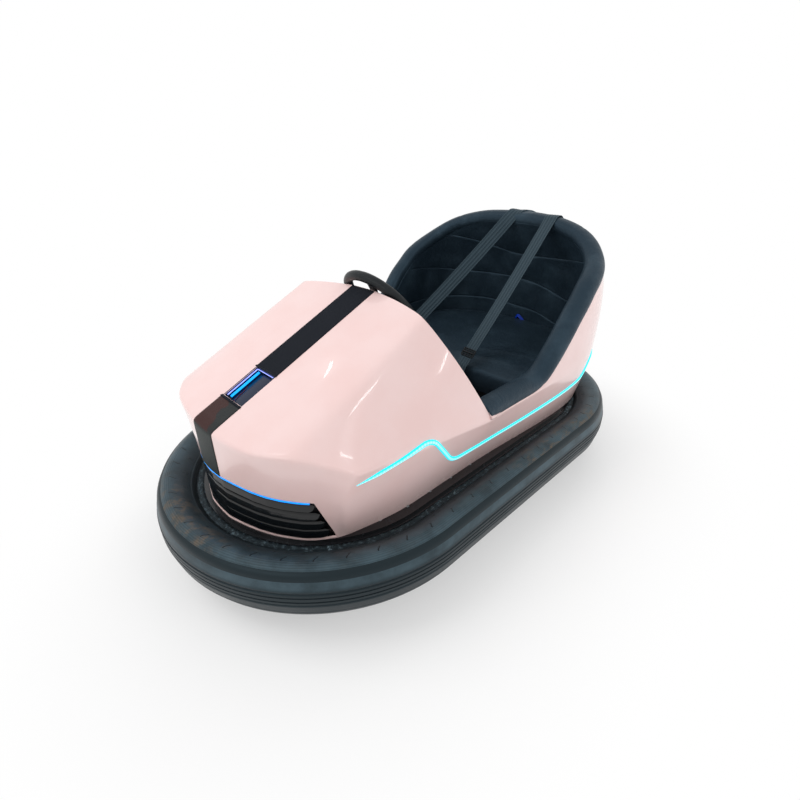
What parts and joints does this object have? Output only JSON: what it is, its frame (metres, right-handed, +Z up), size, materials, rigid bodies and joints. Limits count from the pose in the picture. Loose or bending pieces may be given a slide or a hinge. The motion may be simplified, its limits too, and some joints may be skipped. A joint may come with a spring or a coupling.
{
  "type": "battery bumper car",
  "caption": "Small electric fairground bumper car with a stadium rubber ring, a moulded body, a padded bucket seat with a harness and a steered drive wheel under the nose.",
  "frame": {"origin": "on the floor under the middle of the bumper ring", "axes": "+Z up, -Y towards the nose, +X the driver's left side"},
  "size_m": [1.15, 1.95, 0.9513],
  "materials": {
    "body_gelcoat": "glossy pale pink gelcoat",
    "gloss_black": "glossy black moulding",
    "light_blue": "lit blue strip",
    "light_cyan": "lit cyan tube",
    "stripe_felt": "black felt-like stripe",
    "stripe_gloss": "dark gloss stripe",
    "bumper_rubber": "dusty black rubber",
    "rim_steel": "black painted steel band",
    "pan_steel": "black painted sheet steel",
    "frame_steel": "black painted square tube",
    "seat_leather": "black leatherette",
    "seat_shell": "black moulded seat base",
    "webbing": "dark slate webbing",
    "buckle_plastic": "black plastic slide",
    "bracket_steel": "painted steel bracket",
    "wheel_grip": "soft black steering wheel",
    "column_steel": "plain steel column",
    "gearbox_cast": "cast gearbox case",
    "drive_steel": "painted steel drive unit",
    "motor_paint": "black painted motor",
    "wheel_rubber": "solid black rubber tread",
    "hub_alloy": "cast alloy hub",
    "axle_steel": "steel axle and cheeks",
    "battery_case": "black battery case",
    "pedal_rubber": "rubber covered pedal"
  },
  "bodies": {
    "root": {"bumper_tyre": "bumper_rubber", "bumper_rim": "rim_steel", "floor_pan": "pan_steel", "chassis_frame": "frame_steel", "front_cowl": "body_gelcoat", "rear_tub": "body_gelcoat", "nose_grille": "gloss_black", "grille_light": "light_blue", "light_tray": "gloss_black", "tray_light": "light_cyan", "hood_stripe": "stripe_felt", "nose_stripe": "stripe_gloss", "side_light_left": "light_cyan", "side_light_right": "light_cyan", "seat_base": "seat_shell", "seat_cushion": "seat_leather", "backrest_pad": "seat_leather", "bolster_roll": "seat_leather", "harness_strap_left": "webbing", "harness_strap_right": "webbing", "harness_adjuster_left": "buckle_plastic", "harness_adjuster_right": "buckle_plastic", "harness_anchor_left": "bracket_steel", "harness_anchor_right": "bracket_steel", "accelerator_pedal": "pedal_rubber", "steering_gearbox": "gearbox_cast", "steering_bridge": "bracket_steel", "column_stay": "bracket_steel", "swivel_bearing": "drive_steel", "rear_axle": "axle_steel", "battery_pack": "battery_case"},
    "steering": {"steering_wheel": "wheel_grip", "steering_column": "column_steel"},
    "drive_unit": {"drive_fork": "drive_steel", "drive_motor": "motor_paint"},
    "drive_wheel": {"drive_hub": "hub_alloy", "drive_tyre": "wheel_rubber"},
    "rear_wheel_left": {"rear_hub_left": "hub_alloy", "rear_tyre_left": "wheel_rubber"},
    "rear_wheel_right": {"rear_hub_right": "hub_alloy", "rear_tyre_right": "wheel_rubber"}
  },
  "joints": [
    {"name": "steering_turn", "type": "hinge", "parent": "root", "child": "steering", "pos_m": [0, -0.145, 0.711], "axis": [0, 0.788, 0.6157], "continuous": true},
    {"name": "drive_swivel", "type": "hinge", "parent": "root", "child": "drive_unit", "pos_m": [0, -0.52, 0.17], "axis": [0, 0, 1], "continuous": true},
    {"name": "drive_spin", "type": "hinge", "parent": "drive_unit", "child": "drive_wheel", "pos_m": [0, -0.52, 0.085], "axis": [1, 0, 0], "continuous": true},
    {"name": "rear_spin_left", "type": "hinge", "parent": "root", "child": "rear_wheel_left", "pos_m": [0.29, 0.56, 0.068], "axis": [1, 0, 0], "continuous": true},
    {"name": "rear_spin_right", "type": "hinge", "parent": "root", "child": "rear_wheel_right", "pos_m": [-0.29, 0.56, 0.068], "axis": [1, 0, 0], "continuous": true}
  ],
  "couplings": [
    {"joint": "drive_swivel", "follows": "steering_turn", "ratio": 1}
  ]
}
